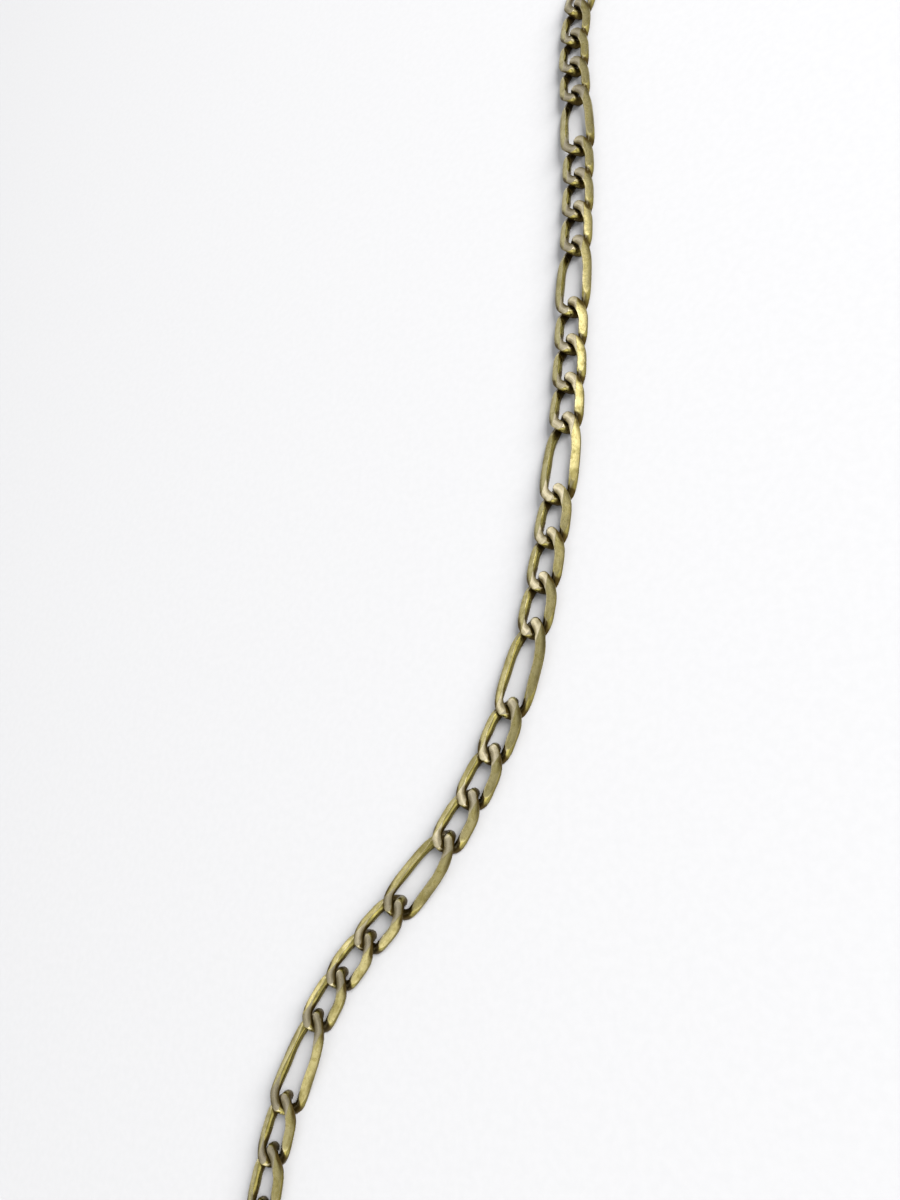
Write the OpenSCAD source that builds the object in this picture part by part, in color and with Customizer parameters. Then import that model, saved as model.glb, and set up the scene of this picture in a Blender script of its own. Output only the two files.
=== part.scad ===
/* [Links] */
// Length that a short link adds to the chain, from joint to joint
short_pitch = 6.3; // [6:0.1:7]
// Length that a long link adds to the chain, from joint to joint
long_pitch = 10.8; // [9.5:0.1:13]
// Width of a short link over the wire
short_w = 5.3; // [5.2:0.1:5.8]
// Width of a long link over the wire
long_w = 5.8; // [5.6:0.1:6.4]
// Diameter of the round wire before it is filed
wire_d = 1.4; // [1.25:0.05:1.45]
// Turn of a short link's plane at each of its ends, in degrees
short_twist = 61; // [59:1:65]
// Turn of a long link's plane at each of its ends, in degrees
long_twist = 50; // [48:1:54]

/* [Filing] */
// Thickness of the chain between its flat top and flat underside
chain_t = 1.9; // [1.75:0.05:2.2]
// Lean of the filed flank facets from level, in degrees
flank_lean = 21; // [18:1:30]
// Depth that the flank facets are filed into the side wires
flank_cut = 0.34; // [0.26:0.02:0.42]

/* [Chain] */
// Short links between one long link and the next
shorts = 3; // [2:1:4]
// Times that the pattern of short and long links is repeated
patterns = 20; // [19:1:21]

/* [Clasp] */
// Length that the closed clasp adds to the chain, from joint to joint
clasp_pitch = 14; // [13:0.5:17]
// Length of the clasp's plain body
clasp_body_l = 8.6; // [7:0.1:9]
// Width of the clasp's plain body
clasp_body_w = 4.8; // [4:0.1:6]
// Thickness of the clasp's plain body
clasp_body_t = 2.4; // [2:0.1:3]

/* [Hidden] */

// Clear space between the wires of two linked links
joint_gap = 0.28;
// Share by which the route is longer than its links, so that bends stay clear
route_ease = 0.002;
// Distance from the start of the route to the first joint
first_joint = 0.5;
// Radius of a link's rounded end as a share of its half width, both to the wire's centre
end_round = 0.91;
// The twist grows with this power of the distance from the link's middle
twist_power = 2.2;
// Rise of a flank facet along the link, so that it reaches the bar's lower end
flank_tilt = 0.05;
// The wire's section is six-sided, with its corners on the round wire
section_r = wire_d / 2;
section_sides = 6;
gold = [0.62, 0.55, 0.33];

// The loop as laid out: controls of one smooth closed curve, in millimetres.
// The first seven bend the front of the chain, the rest take it round plainly.
route = [
    [7, 47], [6.5, 30], [1, 2], [-3, -11], [-15, -31], [-31, -41], [-40.5, -61],
    [-43, -84], [-32, -104], [-10, -114], [16, -114], [39, -104], [53, -83],
    [58, -55], [60.5, -27], [62.5, 1], [65, 28], [69.5, 54], [77, 81],
    [82.5, 108], [70, 131], [46.5, 141], [21.5, 133], [7.5, 111], [10.5, 79]
];
route_steps = 12;

// One point of the closed curve between controls i and i + 1
function spline(p, i, t) =
    let (n = len(p), a = p[(i + n - 1) % n], b = p[i], c = p[(i + 1) % n], d = p[(i + 2) % n])
    (pow(1 - t, 3) * a + (3 * pow(t, 3) - 6 * t * t + 4) * b
        + (-3 * pow(t, 3) + 3 * t * t + 3 * t + 1) * c + pow(t, 3) * d) / 6;

// Running sum of a list, starting at zero
function sums(v) = [for (i = 0, s = 0; i <= len(v); s = s + (i < len(v) ? v[i] : 0), i = i + 1) s];

raw_curve = [for (i = [0 : len(route) - 1]) for (k = [0 : route_steps - 1])
    spline(route, i, k / route_steps)];
raw_spans = [for (i = [0 : len(raw_curve) - 1])
    norm(raw_curve[(i + 1) % len(raw_curve)] - raw_curve[i])];
raw_length = sums(raw_spans)[len(raw_spans)];

// The pieces in order from the first joint: half of the patterns, the clasp, the other half
front_patterns = floor(patterns / 2);
pattern = concat([for (i = [1 : shorts]) "short"], ["long"]);
front_kinds = [for (i = [1 : front_patterns]) for (k = pattern) k];
rear_kinds = [for (i = [1 : patterns - front_patterns]) for (k = pattern) k];
kinds = concat(front_kinds, ["clasp"], rear_kinds);
function pitch(kind) = kind == "short" ? short_pitch : kind == "long" ? long_pitch : clasp_pitch;
pitches = [for (k = kinds) pitch(k)];
chain_length = sums(pitches)[len(pitches)];

// The curve at the chain's own length, with its middle at the origin
curve_scale = chain_length * (1 + route_ease) / raw_length;
curve = curve_scale * raw_curve;
curve_at = sums(curve_scale * raw_spans);
function span(v, axis) = [min([for (p = v) p[axis]]), max([for (p = v) p[axis]])];
middle = [for (axis = [0, 1]) (span(curve, axis)[0] + span(curve, axis)[1]) / 2];

// Index of the last curve point that lies at or before distance s
function before(s, lo, hi) =
    hi - lo <= 1 ? lo
    : let (m = floor((lo + hi) / 2)) curve_at[m] <= s ? before(s, m, hi) : before(s, lo, m);
function along(s) =
    let (
        total = curve_at[len(curve)],
        d = s % total,
        i = before(d, 0, len(curve)),
        t = (d - curve_at[i]) / (curve_at[i + 1] - curve_at[i])
    ) curve[i] * (1 - t) + curve[(i + 1) % len(curve)] * t - middle;
joint_at = (1 + route_ease) * sums(pitches);
joints = [for (s = joint_at) along(s + first_joint)];

// Half length of a link's centre line
function half_length(pitch) = (pitch + wire_d + joint_gap) / 2;

// Oval centre line of four arcs: half length a, half width b, round ends.
// It runs through the corner of one quarter and gives [point, outward direction].
function quarter(a, b, f) =
    let (
        end_r = end_round * b,
        side_r = (pow(a - end_r, 2) + b * b - end_r * end_r) / (2 * (b - end_r)),
        turn = atan2(side_r - b, a - end_r),
        q = f < 0.5 ? turn * f * 2 : turn + (90 - turn) * (f - 0.5) * 2,
        centre = f < 0.5 ? [a - end_r, 0] : [0, b - side_r],
        r = f < 0.5 ? end_r : side_r,
        out = [cos(q), sin(q)]
    ) [centre + r * out, out];
// Stations round one link, mirrored from quarter to quarter, closer on the round ends
quarter_shares = [0, 0.24, 0.48, 0.8];
half_shares = concat(quarter_shares, [for (i = [len(quarter_shares) - 1 : -1 : 1]) quarter_shares[i]]);
function oval(a, b) = [for (way = [1, -1]) for (i = [0 : len(half_shares) - 1])
    let (
        q = quarter(a, b, half_shares[i]),
        along = i < len(quarter_shares) ? way : -way
    ) [[q[0].x * along, q[0].y * way], [q[1].x * along, q[1].y * way]]];

// Turn of the link's plane at x along it: the + end one way, the - end the other
function twist_at(x, a, twist) = -twist * sign(x) * pow(abs(x) / a, twist_power);
function turned(p, angle) = [p.x, p.y * cos(angle) - p.z * sin(angle), p.y * sin(angle) + p.z * cos(angle)];

// The flank facets, then the flat top and underside, take off what stands out of them
function filed(p, b) =
    let (
        side = p.y < 0 ? -1 : 1,
        face = p.z < 0 ? -1 : 1,
        n = [side * face * flank_tilt, side * sin(flank_lean), face * cos(flank_lean)],
        over = p * n - (b * sin(flank_lean) + wire_d / 2 - flank_cut),
        q = p - max(over, 0) * n
    ) [q.x, q.y, max(min(q.z, chain_t / 2), -chain_t / 2)];

// Corners of the wire's section round every station
function link_points(a, b, twist) = [for (s = oval(a, b)) for (k = [0 : section_sides - 1])
    let (
        v = k * 360 / section_sides,
        reach = section_r * cos(v),
        flat_point = [s[0].x + reach * s[1].x, s[0].y + reach * s[1].y, section_r * sin(v)]
    ) filed(turned(flat_point, twist_at(s[0].x, a, twist)), b)];

function ring_faces(rings, sides) = [for (i = [0 : rings - 1]) for (k = [0 : sides - 1])
    let (
        i2 = (i + 1) % rings,
        k2 = (k + 1) % sides,
        a = i * sides + k,
        b = i * sides + k2,
        c = i2 * sides + k2,
        d = i2 * sides + k
    ) each [[a, b, c], [a, c, d]]];

// One twisted, filed link, lying along x round its own middle
module link(pitch, width, twist) {
    a = half_length(pitch);
    b = (width - wire_d) / 2;
    polyhedron(
        points = link_points(a, b, twist),
        faces = ring_faces(2 * len(half_shares), section_sides)
    );
}

// Children lie between joint i and the next one, at half the chain's thickness
module between_joints(i) {
    from = joints[i + 1];
    to = joints[i];
    d = to - from;
    translate([(from.x + to.x) / 2, (from.y + to.y) / 2, chain_t / 2])
        rotate([0, 0, atan2(d.y, d.x)])
            children();
}

module strand(first, last) {
    for (i = [first : last])
        between_joints(i)
            if (kinds[i] == "short")
                link(short_pitch, short_w, short_twist);
            else
                link(long_pitch, long_w, long_twist);
}

// The half of the chain that starts at the first joint
module chain_front() {
    color(gold) strand(0, len(front_kinds) - 1);
}

// The other half, from the clasp back to the first joint
module chain_rear() {
    color(gold) strand(len(front_kinds) + 1, len(kinds) - 1);
}

// Plain closed clasp: a loop like a link at each end of one solid body
module clasp() {
    straight = clasp_body_l - clasp_body_w;
    color(gold) between_joints(len(front_kinds)) {
        link(clasp_pitch, short_w, long_twist);
        translate([0, 0, -chain_t / 2]) {
            for (side = [-1, 1])
                translate([side * straight / 2, 0, 0])
                    cylinder(h = clasp_body_t, d = clasp_body_w, $fn = 48);
            translate([-straight / 2, -clasp_body_w / 2, 0])
                cube([straight, clasp_body_w, clasp_body_t]);
        }
    }
}

chain_front();
chain_rear();
clasp();
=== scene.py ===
import math

import bmesh
import bpy
import numpy as np
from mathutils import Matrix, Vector


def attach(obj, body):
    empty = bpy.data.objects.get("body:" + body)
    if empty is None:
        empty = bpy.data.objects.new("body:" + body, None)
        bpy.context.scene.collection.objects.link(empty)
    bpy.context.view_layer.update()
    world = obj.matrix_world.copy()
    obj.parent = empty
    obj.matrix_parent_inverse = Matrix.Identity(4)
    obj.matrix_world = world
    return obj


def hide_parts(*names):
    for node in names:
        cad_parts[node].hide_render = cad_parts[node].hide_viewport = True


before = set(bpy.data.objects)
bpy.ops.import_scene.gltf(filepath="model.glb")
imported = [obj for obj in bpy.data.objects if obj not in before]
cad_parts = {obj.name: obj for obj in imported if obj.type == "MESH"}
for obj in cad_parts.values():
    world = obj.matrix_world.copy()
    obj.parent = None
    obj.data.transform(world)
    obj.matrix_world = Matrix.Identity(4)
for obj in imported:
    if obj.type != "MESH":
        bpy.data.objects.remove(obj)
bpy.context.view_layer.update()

MM = 0.001
RNG = np.random.default_rng(8)

# The links, in millimetres and degrees: their sizes are the CAD's and their filing is finer. The
# twist is that of the link's two ends, the cut is how deep its flanks are filed.
WIRE = 1.4
JOINT_GAP = 0.28
THICK = 1.9
KINDS = {
    "short": {"pitch": 6.3, "width": 5.3, "twist": 61, "cut": 0.25},
    "long": {"pitch": 10.8, "width": 5.8, "twist": 50, "cut": 0.32},
    "clasp": {"pitch": 14.0, "width": 5.3, "twist": 50, "cut": 0.32},
}
LONG_FROM = 11
TWIST_POWER = 2.2
END_ROUND = 0.91
FLANK_LEAN = 21
FLANK_TILT = 0.08

# The filed top of either end: its middle, as shares of half the link's length and width, its fall
# towards the link's middle, and how far it stays under the CAD's top
FLAT_MIDDLE = (0.8, 0.6)
FLAT_DROP = 0.2
FLAT_UNDER = 0.02

# How much the filing differs from link to link, either way
SPREAD = {"lean": 3, "cut": 0.04, "tilt": 0.03, "ends": 0.035}

# The clasp's plain body
BODY = {"length": 8.6, "width": 4.8, "thick": 2.4, "edge": 0.5, "edge_steps": 6, "arc_steps": 24}

# The mesh: rings along a link, how finely its section is scanned, and how deep inside the cuts the
# section's pole lies, as a share of the wire's radius
STATIONS = 128
SCAN = 1800
POLE_ROUNDS = 4
POLE_DEPTH = 0.25
# How round the filed edges are worn, in millimetres, and how much of a facet the wear may take
EDGE_WEAR = 0.022
EDGE_REACH = 0.07
EDGE_SHARE = 0.3
# Least cosines at which a plane cuts and at which its edge wears, and a distance beyond all others
LEAST_CUT = 1e-6
LEAST_WEAR = 1e-3
FAR_OFF = 99.0
# Points nearer than this merge, in millimetres, and edges over this many degrees stay sharp
MERGE = 0.003
SHARP_FROM = 32

# Dirt and painted contact shade lie near the neighbouring links' wires: all of it nearer than the
# first distance, none beyond the second, or beyond the third on low parts and sides, in millimetres
GRIME_SHADE_NEAR = 0.18
GRIME_SHADE_FAR = 0.8
GRIME_SHADE_FAR_LOW = 2.0
NEIGHBOURS = 3
NEIGHBOUR_WITHIN = 28

# The wires' undersides and sides, darkened with patina and painted shade, end between these
# heights and these upward turns
LOW_FROM = 0.2
LOW_TO = 1.35
SIDE_FROM = -0.05
SIDE_TO = 0.78

# Colours of the metal, of what lies on it, and of the painted shade and highlight on it
COLOURS = {
    "wire": (0.61, 0.53, 0.17),
    "filed": (0.93, 0.825, 0.60),
    "tarnish": (0.44, 0.37, 0.09),
    "streak": (0.34, 0.28, 0.07),
    "dull_link": (0.49, 0.42, 0.14),
    # Worn edges, lighter also as a painted highlight along the ridges
    "worn_edge_and_highlight": (0.85, 0.76, 0.50),
    "mottle": (0.40, 0.33, 0.085),
    "pit": (0.10, 0.08, 0.05),
    # Patina and painted shade low down, then dirt and painted contact shade between links
    "low": (0.12, 0.09, 0.018),
    "dirt_and_shade": (0.085, 0.056, 0.012),
    "floor_dark": (0.40, 0.405, 0.42),
    "floor_light": (0.41, 0.415, 0.43),
}

# The light tent, from its glow overhead on: the direction, the cosines to it at which the next
# glow starts and is full, and that glow. First the top and the sides, then brighter patches
# towards the back left, the right, low on the right, the front and low on the left, last the foot.
TENT_TOP = (0.42, 0.42, 0.43)
TENT = [
    ((0, 0, 1), 0.75, 0.93, (0.48, 0.48, 0.475)),
    ((0, 0, 1), 0.50, 0.22, (0.68, 0.69, 0.71)),
    ((-0.47, 0.42, 0.775), 0.94, 0.995, (1.12, 1.12, 1.10)),
    ((0.74, 0.10, 0.66), 0.93, 0.99, (1.10, 1.09, 1.06)),
    ((0.87, -0.35, 0.34), 0.85, 0.97, (1.00, 0.99, 0.97)),
    ((-0.12, -0.83, 0.54), 0.80, 0.95, (1.42, 1.41, 1.37)),
    ((-0.90, 0.33, 0.28), 0.980, 0.993, (1.45, 1.44, 1.39)),
    ((0, 0, 1), 0.08, 0.0, (0.50, 0.50, 0.51)),
]


# Reading the CAD links

def loose_parts(node):
    """Vertex positions in millimetres of each loose solid of a CAD node."""
    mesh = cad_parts[node].data
    count = len(mesh.vertices)
    co = np.empty(count * 3)
    mesh.vertices.foreach_get("co", co)
    co = co.reshape(-1, 3) / MM
    edges = np.empty(len(mesh.edges) * 2, dtype=np.int64)
    mesh.edges.foreach_get("vertices", edges)
    edges = edges.reshape(-1, 2)
    # Vertices of one place count as one, so split edges do not divide a solid
    _, same = np.unique(np.round(co, 4), axis=0, return_inverse=True)
    same = same.reshape(-1)
    label = same.copy()
    while True:
        low = np.minimum(label[edges[:, 0]], label[edges[:, 1]])
        new = label.copy()
        np.minimum.at(new, edges[:, 0], low)
        np.minimum.at(new, edges[:, 1], low)
        by_place = np.full(same.max() + 1, count)
        np.minimum.at(by_place, same, new)
        new = by_place[same]
        if (new == label).all():
            break
        label = new
    return [co[label == k] for k in np.unique(label)]


def link_places(node):
    """For each link of a node: its middle, its direction and its outer length."""
    places = []
    for points in loose_parts(node):
        points = np.unique(np.round(points, 4), axis=0)
        middle = (points.min(0) + points.max(0)) / 2
        flat = points[:, :2] - points[:, :2].mean(0)
        _, axes = np.linalg.eigh(flat.T @ flat)
        along = axes[:, 1] if axes[1, 1] > 0 else -axes[:, 1]
        across = np.array([-along[1], along[0]])
        reach = points[:, :2] @ np.stack([along, across], 1)
        low, high = reach.min(0), reach.max(0)
        centre = np.array([along, across]).T @ ((low + high) / 2)
        places.append({
            "centre": np.array([centre[0], centre[1], middle[2]]),
            "along": along,
            "length": high[0] - low[0],
        })
    return places


# The form of one link

def centre_line(a, b, stations):
    """Oval of four arcs: points and outward directions, closer together on the round ends."""
    end_r = END_ROUND * b
    side_r = ((a - end_r) ** 2 + b * b - end_r ** 2) / (2 * (b - end_r))
    turn = math.atan2(side_r - b, a - end_r)
    share = np.arange(stations) / stations * 4
    quarter = np.floor(share).astype(int)
    f = share - quarter
    f = np.where(quarter % 2 == 0, f, 1 - f)
    on_end = f < 0.5
    q = np.where(on_end, turn * f * 2, turn + (math.pi / 2 - turn) * (f - 0.5) * 2)
    r = np.where(on_end, end_r, side_r)
    x = np.where(on_end, a - end_r, 0) + r * np.cos(q)
    y = np.where(on_end, 0, b - side_r) + r * np.sin(q)
    sx = np.where((quarter == 1) | (quarter == 2), -1.0, 1.0)
    sy = np.where(quarter > 1, -1.0, 1.0)
    return np.stack([x * sx, y * sy], 1), np.stack([np.cos(q) * sx, np.sin(q) * sy], 1)


def shift_pole(mids, dists, r):
    """Moves each section's pole off the wire's centre until it lies inside all the cuts."""
    pole = np.zeros((len(dists[0]), 2))
    for _ in range(POLE_ROUNDS):
        for mid, d in zip(mids, dists):
            normal = np.stack([np.cos(mid), np.sin(mid)], 1)
            short = np.maximum(POLE_DEPTH * r - d + (pole * normal).sum(1), 0)
            pole -= short[:, None] * normal
    moved = [d - (pole * np.stack([np.cos(m), np.sin(m)], 1)).sum(1) for m, d in zip(mids, dists)]
    return pole, moved


def round_reach(pole, v, r):
    """Distance from the pole to the round wire's surface at angles v."""
    along = pole[:, :1] * np.cos(v) + pole[:, 1:] * np.sin(v)
    return np.sqrt(r * r - (pole ** 2).sum(1)[:, None] + along ** 2) - along


def cut_spans(mids, dists, pole, r):
    """Start and end angle of each plane's cut in every section, planes in order of angle."""
    scan = np.linspace(-math.pi, math.pi, SCAN)[None, :]
    reach = round_reach(pole, scan, r)
    cutter = np.full(reach.shape, -1)
    for k, (mid, d) in enumerate(zip(mids, dists)):
        cosine = np.cos(scan - mid[:, None])
        cut = np.where(cosine > LEAST_CUT, d[:, None] / np.maximum(cosine, LEAST_CUT), np.inf)
        cutter = np.where(cut < reach, k, cutter)
        reach = np.minimum(reach, cut)
    there = [(cutter == k).any(1) for k in range(len(mids))]
    starts = [scan[0, (cutter == k).argmax(1)] for k in range(len(mids))]
    ends = [scan[0, SCAN - 1 - (cutter == k)[:, ::-1].argmax(1)] for k in range(len(mids))]
    # A plane that misses the wire keeps an empty span between its neighbours
    low = np.full(len(mids[0]), -math.pi)
    for k in range(len(mids)):
        high = np.full(len(mids[0]), math.pi)
        for later in range(len(mids) - 1, k, -1):
            high = np.where(there[later], starts[later], high)
        spot = np.clip(mids[k], low, high)
        starts[k] = np.where(there[k], starts[k], spot)
        ends[k] = np.where(there[k], ends[k], spot)
        low = ends[k]
    return starts, ends


def ring_angles(starts, ends):
    """Angles of a section's points, how much each is filed, and whether it lies on a filed edge."""
    breaks = [v for pair in zip(starts, ends) for v in pair]
    breaks.append(starts[0] + 2 * math.pi)
    # Each zone from one break to the next: filed share, inner points, and worn edge at either end
    zones = [
        (1.0, 1, False, False),
        (0.3, 0, False, False),
        (0.3, 1, False, False),
        (0.0, 4, False, True),
        (0.3, 1, True, True),
        (0.6, 0, False, False),
        (1.0, 1, True, True),
        (0.0, 7, True, False),
    ]
    angles, filed, edge = [], [], []
    for k, (share, inner, worn_start, worn_end) in enumerate(zones):
        start, width = breaks[k], breaks[k + 1] - breaks[k]
        near = np.minimum(EDGE_REACH / np.maximum(width * WIRE / 2, 1e-9), EDGE_SHARE)
        low, high = near * worn_start, 1 - near * worn_end
        before = zones[k - 1][0]
        angles.append(start)
        filed.append((share + before) / 2)
        edge.append(float(worn_start or zones[k - 1][3]))
        if worn_start:
            angles.append(start + width * low)
            filed.append(share)
            edge.append(0.0)
        for i in range(inner):
            angles.append(start + width * (low + (high - low) * (i + 1) / (inner + 1)))
            filed.append(share)
            edge.append(0.0)
        if worn_end:
            angles.append(start + width * high)
            filed.append(share)
            edge.append(0.0)
    return np.stack(angles, 1), np.array(filed), np.array(edge)


def worn_reach(pole, mids, dists, v, r):
    """Distance from the pole to the filed wire's surface at angles v, with its edges worn round."""
    total = np.exp(-round_reach(pole, v, r) / EDGE_WEAR)
    for mid, d in zip(mids, dists):
        cosine = np.cos(v - mid[:, None])
        cut = np.where(cosine > LEAST_WEAR, d[:, None] / np.maximum(cosine, LEAST_WEAR), FAR_OFF)
        total += np.exp(-cut / EDGE_WEAR)
    return -EDGE_WEAR * np.log(total)


def filing(cut):
    """How one link is filed, a little different from link to link."""
    return {
        "lean": math.radians(FLANK_LEAN + RNG.uniform(-SPREAD["lean"], SPREAD["lean"])),
        "cut": cut + RNG.uniform(-SPREAD["cut"], SPREAD["cut"]),
        "tilt": FLANK_TILT + RNG.uniform(-SPREAD["tilt"], SPREAD["tilt"]),
        "ends": RNG.uniform(-SPREAD["ends"], SPREAD["ends"], (2, 2)),
    }


def filed_planes(x, side, a, b, file_by):
    """Normal and distance of each filed plane at the stations: underside, low flank, flank, top."""
    zero, one = np.zeros(len(x)), np.ones(len(x))
    lean, tilt = file_by["lean"], file_by["tilt"]
    reach = b * math.sin(lean) + WIRE / 2 - file_by["cut"]
    half = THICK / 2
    # The top is filed apart at either end, down towards the middle and a little askew
    upper = x > 0
    askew = np.where(upper[:, None], file_by["ends"][0], file_by["ends"][1])
    end = np.where(upper, 1.0, -1.0)
    centre = np.stack([end * FLAT_MIDDLE[0] * a, -end * FLAT_MIDDLE[1] * b], 1)
    askew[:, 0] -= FLAT_DROP / centre[:, 0]
    top_normal = np.concatenate([askew, one[:, None]], 1)
    top_reach = half - FLAT_UNDER + (askew * centre).sum(1)
    return [
        (np.stack([zero, zero, -one], 1), half),
        (np.stack([-side * tilt, side * math.sin(lean), -one * math.cos(lean)], 1), reach),
        (np.stack([side * tilt, side * math.sin(lean), one * math.cos(lean)], 1), reach),
        (top_normal, top_reach),
    ]


def link_form(kind, stations, file_by):
    """Rings of points round one twisted, filed wire that lies along x, and its centre line."""
    a = (kind["pitch"] + WIRE + JOINT_GAP) / 2
    b = (kind["width"] - WIRE) / 2
    line, out = centre_line(a, b, stations)
    x, y = line[:, 0], line[:, 1]
    turn = -math.radians(kind["twist"]) * np.sign(x) * (np.abs(x) / a) ** TWIST_POWER
    c = np.stack([x, y * np.cos(turn), y * np.sin(turn)], 1)
    tangent = np.roll(c, -1, 0) - np.roll(c, 1, 0)
    tangent /= np.linalg.norm(tangent, axis=1)[:, None]
    e1 = np.stack([out[:, 0], out[:, 1] * np.cos(turn), out[:, 1] * np.sin(turn)], 1)
    e1 -= tangent * (e1 * tangent).sum(1)[:, None]
    e1 /= np.linalg.norm(e1, axis=1)[:, None]
    e2 = np.cross(e1, tangent)
    e2 *= np.where(e2[:, 2:3] < 0, -1.0, 1.0)
    mids, dists = [], []
    for normal, distance in filed_planes(x, np.where(y < 0, -1.0, 1.0), a, b, file_by):
        g1, g2 = (normal * e1).sum(1), (normal * e2).sum(1)
        mids.append(np.arctan2(g2, g1))
        dists.append((distance - (normal * c).sum(1)) / np.hypot(g1, g2))
    r = WIRE / 2
    pole, dists = shift_pole(mids, dists, r)
    starts, ends = cut_spans(mids, dists, pole, r)
    v, filed, edge = ring_angles(starts, ends)
    reach = worn_reach(pole, mids, dists, v, r)
    across = pole[:, :1] + reach * np.cos(v)
    up = pole[:, 1:] + reach * np.sin(v)
    points = c[:, None] + across[..., None] * e1[:, None] + up[..., None] * e2[:, None]
    step = np.linalg.norm(np.roll(c, -1, 0) - c, axis=1)
    run = np.concatenate([[0], np.cumsum(step)[:-1]])
    wire = np.stack(np.broadcast_arrays(run[:, None], v * r, 0.0), 2)
    facing_up = np.cos(v) * e1[:, None, 2] + np.sin(v) * e2[:, None, 2]
    return {
        "points": points,
        "line": c,
        "filed": np.broadcast_to(filed, v.shape),
        "edge": np.broadcast_to(edge, v.shape),
        "facing_up": facing_up,
        "wire": wire,
    }


def in_place(p, place):
    """Points of a link that lies along x, moved to where the CAD link lies."""
    along, (x, y, z) = place["along"], place["centre"]
    return np.stack([
        x + p[:, 0] * along[0] - p[:, 1] * along[1],
        y + p[:, 0] * along[1] + p[:, 1] * along[0],
        z + p[:, 2],
    ], 1)


def ring_quads(rings, sides, closed=True):
    """Quads between neighbouring rings of points, and from the last to the first where closed."""
    i, k = np.arange(rings if closed else rings - 1)[:, None], np.arange(sides)[None, :]
    i2, k2 = (i + 1) % rings, (k + 1) % sides
    quads = np.stack([i * sides + k, i2 * sides + k, i2 * sides + k2, i * sides + k2], 2)
    return quads.reshape(-1, 4)


def make_link(place, kind):
    """One link in place, in millimetres, with its surface values."""
    form = link_form(KINDS[kind], STATIONS, filing(KINDS[kind]["cut"]))
    rings, sides = form["points"].shape[:2]
    wire = form["wire"].reshape(-1, 3).copy()
    wire[:, 2] = RNG.uniform(0, 100)
    return {
        "points": in_place(form["points"].reshape(-1, 3), place),
        "line": in_place(form["line"], place),
        "quads": ring_quads(rings, sides),
        "filed": form["filed"].reshape(-1),
        "edge": form["edge"].reshape(-1),
        "facing_up": form["facing_up"].reshape(-1),
        "tone": np.full(rings * sides, RNG.uniform()),
        "wire": wire,
    }


def patina_and_shade(points, facing_up):
    """How much patina and painted shade darken the metal: most low down and on surfaces that don't
    face up.
    """
    height = np.clip((points[:, 2] - LOW_FROM) / (LOW_TO - LOW_FROM), 0, 1)
    up = np.clip((facing_up - SIDE_FROM) / (SIDE_TO - SIDE_FROM), 0, 1)
    return 1 - np.minimum(height, up * up * (3 - 2 * up))


def add_grime_and_shade(links):
    """Gives every point of every link its share of dirt and painted contact shade from how near the
    next links are.
    """
    middles = np.array([link["line"].mean(0) for link in links])
    for k, link in enumerate(links):
        apart = np.linalg.norm(middles - middles[k], axis=1)
        near = [j for j in np.argsort(apart)[1:NEIGHBOURS + 1] if apart[j] < NEIGHBOUR_WITHIN]
        link["low"] = patina_and_shade(link["points"], link["facing_up"])
        gap = np.full(len(link["points"]), FAR_OFF)
        for j in near:
            step = link["points"][:, None] - links[j]["line"][None]
            gap = np.minimum(gap, np.sqrt((step ** 2).sum(2)).min(1) - WIRE / 2)
        # Dirt and painted contact shade reach further on low parts and sides
        far = GRIME_SHADE_FAR + (GRIME_SHADE_FAR_LOW - GRIME_SHADE_FAR) * link["low"]
        t = np.clip((gap - GRIME_SHADE_NEAR) / (far - GRIME_SHADE_NEAR), 0, 1)
        link["grime_and_shade"] = 1 - t * t * (3 - 2 * t)


# Pieces

def make_piece(name, node, parts):
    """One mesh of several parts in millimetres that rides on the body and stands for its CAD node."""
    starts = np.cumsum([0] + [len(p["points"]) for p in parts])
    points = np.concatenate([p["points"] for p in parts])
    quads = np.concatenate([p["quads"] + start for p, start in zip(parts, starts)])
    mesh = bpy.data.meshes.new(name)
    mesh.vertices.add(len(points))
    mesh.vertices.foreach_set("co", (points * MM).ravel())
    mesh.loops.add(quads.size)
    mesh.loops.foreach_set("vertex_index", quads.ravel())
    mesh.polygons.add(len(quads))
    mesh.polygons.foreach_set("loop_start", np.arange(len(quads)) * 4)
    for key in ("filed", "edge", "grime_and_shade", "low", "tone"):
        layer = mesh.attributes.new(key, "FLOAT", "POINT")
        layer.data.foreach_set("value", np.concatenate([p[key] for p in parts]))
    layer = mesh.attributes.new("wire", "FLOAT_VECTOR", "POINT")
    layer.data.foreach_set("vector", np.concatenate([p["wire"] for p in parts]).ravel())
    mesh.update(calc_edges=True)
    # Points of an empty zone fall together here
    form = bmesh.new()
    form.from_mesh(mesh)
    bmesh.ops.remove_doubles(form, verts=form.verts, dist=MERGE * MM)
    bmesh.ops.recalc_face_normals(form, faces=form.faces)
    form.to_mesh(mesh)
    form.free()
    mesh.shade_smooth()
    mesh.set_sharp_from_angle(angle=math.radians(SHARP_FROM))
    piece = bpy.data.objects.new(name, mesh)
    bpy.context.collection.objects.link(piece)
    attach(piece, "root")
    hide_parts(node)
    piece.data.materials.append(bpy.data.materials["aged_gold"])
    return piece


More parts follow.
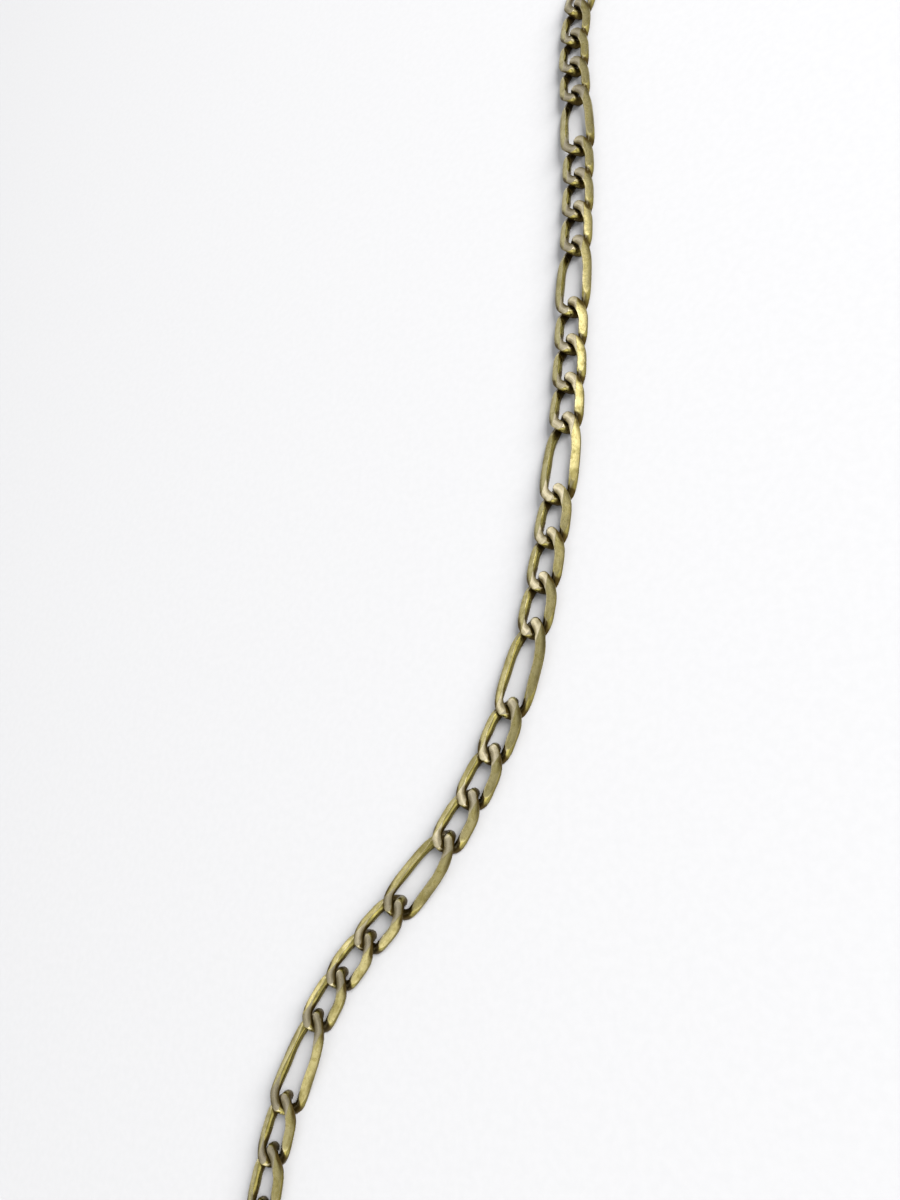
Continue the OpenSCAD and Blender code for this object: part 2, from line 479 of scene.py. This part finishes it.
def clasp_body(place):
    """The clasp's body: round ends and soft edges."""
    straight = (BODY["length"] - BODY["width"]) / 2
    turn = np.linspace(-math.pi / 2, math.pi / 2, BODY["arc_steps"])
    half = np.stack([np.cos(turn), np.sin(turn)], 1)
    out = np.concatenate([half, -half])
    middle = np.zeros((len(out), 2))
    middle[:len(half), 0] = straight
    middle[len(half):, 0] = -straight
    # Levels from the underside's middle line to the top's: height, inset and upward turn
    edge, radius = BODY["edge"], BODY["width"] / 2
    turns = np.linspace(0, math.pi / 2, BODY["edge_steps"])
    levels = [(edge * (1 - math.sin(v)), edge * (1 - math.cos(v)), -math.sin(v)) for v in turns[::-1]]
    levels += [(BODY["thick"] - z, inset, -up) for z, inset, up in reversed(levels)]
    levels = [(0, radius, -1)] + levels + [(BODY["thick"], radius, 1)]
    rings, facing_up = [], []
    for z, inset, up in levels:
        flat = middle + out * (radius - inset)
        rings.append(np.concatenate([flat, np.full((len(flat), 1), z - THICK / 2)], 1))
        facing_up.append(np.full(len(flat), up))
    points = np.concatenate(rings)
    facing_up = np.concatenate(facing_up)
    placed = in_place(points, place)
    return {
        "points": placed,
        "quads": ring_quads(len(rings), len(out), closed=False),
        "filed": np.full(len(points), 0.8),
        "edge": np.where((facing_up > 0.2) & (facing_up < 0.99), 1.0, 0.0),
        "grime_and_shade": np.zeros(len(points)),
        "low": patina_and_shade(placed, facing_up),
        "tone": np.full(len(points), 0.5),
        "wire": points,
    }


def build_chain():
    """All links and the clasp, as pieces of a modest size each."""
    owners, links = [], []
    for node in ("chain_front", "chain_rear"):
        for place in sorted(link_places(node), key=lambda p: -p["centre"][1]):
            owners.append(node)
            links.append(make_link(place, "long" if place["length"] > LONG_FROM else "short"))
    clasp_place = link_places("clasp")[0]
    clasp_place["centre"][2] = THICK / 2
    owners.append("clasp")
    links.append(make_link(clasp_place, "clasp"))
    add_grime_and_shade(links)
    for node in ("chain_front", "chain_rear"):
        own = [link for link, owner in zip(links, owners) if owner == node]
        half = len(own) // 2
        make_piece(node + "_upper", node, own[:half])
        make_piece(node + "_lower", node, own[half:])
    make_piece("clasp_shell", "clasp", [links[-1], clasp_body(clasp_place)])


# Materials

def add_node(tree, kind, values=None, **settings):
    """A shader node with its settings, socket values and links into it."""
    node = tree.nodes.new("ShaderNode" + kind)
    for key, value in settings.items():
        setattr(node, key, value)
    for key, value in (values or {}).items():
        if isinstance(value, bpy.types.NodeSocket):
            tree.links.new(value, node.inputs[key])
        else:
            node.inputs[key].default_value = value
    return node


def attribute(tree, name):
    return add_node(tree, "Attribute", attribute_name=name)


def scaled(tree, vector, scale):
    return add_node(tree, "VectorMath", {0: vector, 1: scale}, operation="MULTIPLY").outputs[0]


def noise(tree, vector, scale, detail=3.0, rough=0.55):
    values = {"Vector": vector, "Scale": scale, "Detail": detail, "Roughness": rough}
    return add_node(tree, "TexNoise", values).outputs["Fac"]


def math_node(tree, operation, a, b, clamp=False):
    node = add_node(tree, "Math", {0: a, 1: b}, operation=operation)
    node.use_clamp = clamp
    return node.outputs[0]


def mapped(tree, value, low, high, to_low=0.0, to_high=1.0):
    values = {"Value": value, "From Min": low, "From Max": high, "To Min": to_low, "To Max": to_high}
    return add_node(tree, "MapRange", values, interpolation_type="SMOOTHSTEP").outputs[0]


def mixed(tree, share, a, b):
    node = add_node(tree, "Mix", {"Factor": share}, data_type="RGBA")
    for socket, value in ((node.inputs[6], a), (node.inputs[7], b)):
        if isinstance(value, bpy.types.NodeSocket):
            tree.links.new(value, socket)
        else:
            socket.default_value = (*value, 1)
    return node.outputs[2]


def aged_gold():
    """Worn gold-coloured metal: pale on the filed faces, olive on the wire, dark with dirt and
    painted shade where links meet and low down.
    """
    mat = bpy.data.materials.new("aged_gold")
    mat.use_nodes = True
    tree = mat.node_tree
    shader = tree.nodes["Principled BSDF"]
    wire = attribute(tree, "wire").outputs["Vector"]
    filed = attribute(tree, "filed").outputs["Fac"]
    edge = attribute(tree, "edge").outputs["Fac"]
    grime_and_shade = attribute(tree, "grime_and_shade").outputs["Fac"]
    low = attribute(tree, "low").outputs["Fac"]
    tone = attribute(tree, "tone").outputs["Fac"]

    patches = noise(tree, wire, 0.55)
    streaks = noise(tree, scaled(tree, wire, (0.4, 5.0, 1.0)), 1.2)
    specks = noise(tree, wire, 4.5, 2.0)
    mottle = noise(tree, wire, 2.2, 2.0)

    colour = mixed(tree, filed, COLOURS["wire"], COLOURS["filed"])
    soiled = mapped(tree, filed, 0.3, 1.0, 1.0, 0.35)
    tarnish = math_node(tree, "MULTIPLY", mapped(tree, patches, 0.42, 0.68, 0.0, 0.5), soiled)
    colour = mixed(tree, tarnish, colour, COLOURS["tarnish"])
    colour = mixed(tree, mapped(tree, streaks, 0.5, 0.75, 0.0, 0.30), colour, COLOURS["streak"])
    colour = mixed(tree, mapped(tree, tone, 0.0, 1.0, 0.0, 0.18), colour, COLOURS["dull_link"])
    # Worn edges lighter: real wear together with a painted highlight along the ridges
    colour = mixed(tree, math_node(tree, "MULTIPLY", edge, 0.5), colour, COLOURS["worn_edge_and_highlight"])
    mottled = math_node(tree, "MULTIPLY", mapped(tree, mottle, 0.48, 0.66, 0.0, 0.35), soiled)
    colour = mixed(tree, mottled, colour, COLOURS["mottle"])
    pitted = mapped(tree, tone, 0.5, 0.8, 0.1, 0.7)
    pits = math_node(tree, "MULTIPLY", mapped(tree, specks, 0.66, 0.74), pitted)
    colour = mixed(tree, pits, colour, COLOURS["pit"])
    # Patina and painted shade: darker low down and on sides that don't face up
    colour = mixed(tree, math_node(tree, "MULTIPLY", low, 0.85), colour, COLOURS["low"])
    # Dirt and painted contact shade, darkest where the next link's wire comes nearest
    dirt_and_shade_edge = math_node(tree, "ADD", grime_and_shade, mapped(tree, patches, 0.3, 0.7, -0.25, 0.25), True)
    worn_off = mapped(tree, filed, 0.2, 1.0, 1.0, 0.35)
    dirt_and_shade = math_node(tree, "MULTIPLY", mapped(tree, dirt_and_shade_edge, 0.12, 0.62), worn_off)
    dirt_and_shade = math_node(tree, "MAXIMUM", dirt_and_shade, mapped(tree, dirt_and_shade_edge, 0.68, 1.0, 0.0, 0.8))
    colour = mixed(tree, dirt_and_shade, colour, COLOURS["dirt_and_shade"])
    tree.links.new(colour, shader.inputs["Base Color"])

    tree.links.new(mapped(tree, dirt_and_shade, 0.0, 1.0, 1.0, 0.9), shader.inputs["Metallic"])
    rough = mapped(tree, filed, 0.0, 0.3, 0.18, 0.20)
    rough = math_node(tree, "ADD", rough, mapped(tree, patches, 0.35, 0.7, -0.02, 0.10))
    rough = math_node(tree, "ADD", rough, mapped(tree, dirt_and_shade, 0.0, 1.0, 0.0, 0.2), True)
    tree.links.new(rough, shader.inputs["Roughness"])

    waves = noise(tree, wire, 1.1, 2.0)
    fine = noise(tree, scaled(tree, wire, (1.0, 3.0, 1.0)), 6.0, 3.0)
    waves = math_node(tree, "MULTIPLY", waves, mapped(tree, filed, 0.0, 0.3, 1.0, 0.4))
    height = math_node(tree, "ADD", waves, math_node(tree, "MULTIPLY", fine, 0.10))
    height = math_node(tree, "SUBTRACT", height, math_node(tree, "MULTIPLY", pits, 0.2))
    bump = add_node(tree, "Bump", {"Strength": 0.4, "Distance": 0.04 * MM, "Height": height})
    tree.links.new(bump.outputs[0], shader.inputs["Normal"])
    return mat


def floor_material():
    """Matt pale surface with a faint grain."""
    mat = bpy.data.materials.new("pale_floor")
    mat.use_nodes = True
    tree = mat.node_tree
    shader = tree.nodes["Principled BSDF"]
    place = add_node(tree, "TexCoord").outputs["Object"]
    grain = mapped(tree, noise(tree, place, 900.0), 0.3, 0.7)
    colour = mixed(tree, grain, COLOURS["floor_dark"], COLOURS["floor_light"])
    tree.links.new(colour, shader.inputs["Base Color"])
    shader.inputs["Roughness"].default_value = 0.9
    return mat


# Stage, light and camera

def floor():
    bpy.ops.mesh.primitive_plane_add(size=6)
    plane = bpy.context.object
    plane.name = "floor"
    plane.data.materials.append(floor_material())


def area_light(name, place, size, power, colour):
    """A flat soft light that faces the middle of the chain."""
    data = bpy.data.lights.new(name, "AREA")
    data.shape = "RECTANGLE"
    data.size, data.size_y = size
    data.energy = power
    data.color = colour
    lamp = bpy.data.objects.new(name, data)
    lamp.location = place
    lamp.rotation_euler = (-Vector(place)).to_track_quat("-Z", "Y").to_euler()
    bpy.context.collection.objects.link(lamp)
    return lamp


def toward(tree, direction, aim, low, high):
    """0 to 1 as the view turns towards one direction, between two cosines."""
    aim = Vector(aim).normalized()
    node = add_node(tree, "VectorMath", {0: direction, 1: aim}, operation="DOT_PRODUCT")
    return mapped(tree, node.outputs["Value"], low, high)


def tent():
    """A pale light tent with a few brighter sides."""
    world = bpy.data.worlds.new("tent")
    world.use_nodes = True
    tree = world.node_tree
    direction = add_node(tree, "TexCoord").outputs["Generated"]
    glow = TENT_TOP
    for aim, low, high, colour in TENT:
        glow = mixed(tree, toward(tree, direction, aim, low, high), glow, colour)
    tree.links.new(glow, tree.nodes["Background"].inputs["Color"])
    bpy.context.scene.world = world


def lights():
    """The tent, one soft box high at the back, and a key from the right for the floor's shadows."""
    tent()
    area_light("soft_box", (0.25, 0.41, 1.0), (0.5, 0.32), 0.85, (1.0, 0.99, 0.96))
    key = area_light("key", (2.2, 0.6, 1.4), (2.2, 2.0), 268.0, (1.0, 0.982, 0.955))
    key.visible_glossy = False
    key.visible_camera = False


def camera():
    """The photo's camera: close above the floor to the chain's right, rolled to the left."""
    data = bpy.data.cameras.new("camera")
    data.sensor_fit = "VERTICAL"
    data.sensor_height = 36
    data.lens = 30
    data.clip_start = 0.005
    eye = bpy.data.objects.new("camera", data)
    eye.location = Vector((43.848, -57.967, 106.37)) * MM
    eye.rotation_euler = [math.radians(v) for v in (23.037, 35.371, 1.372)]
    bpy.context.collection.objects.link(eye)
    bpy.context.scene.camera = eye


aged_gold()
build_chain()
floor()
lights()
camera()
bpy.context.scene.view_settings.view_transform = "Standard"
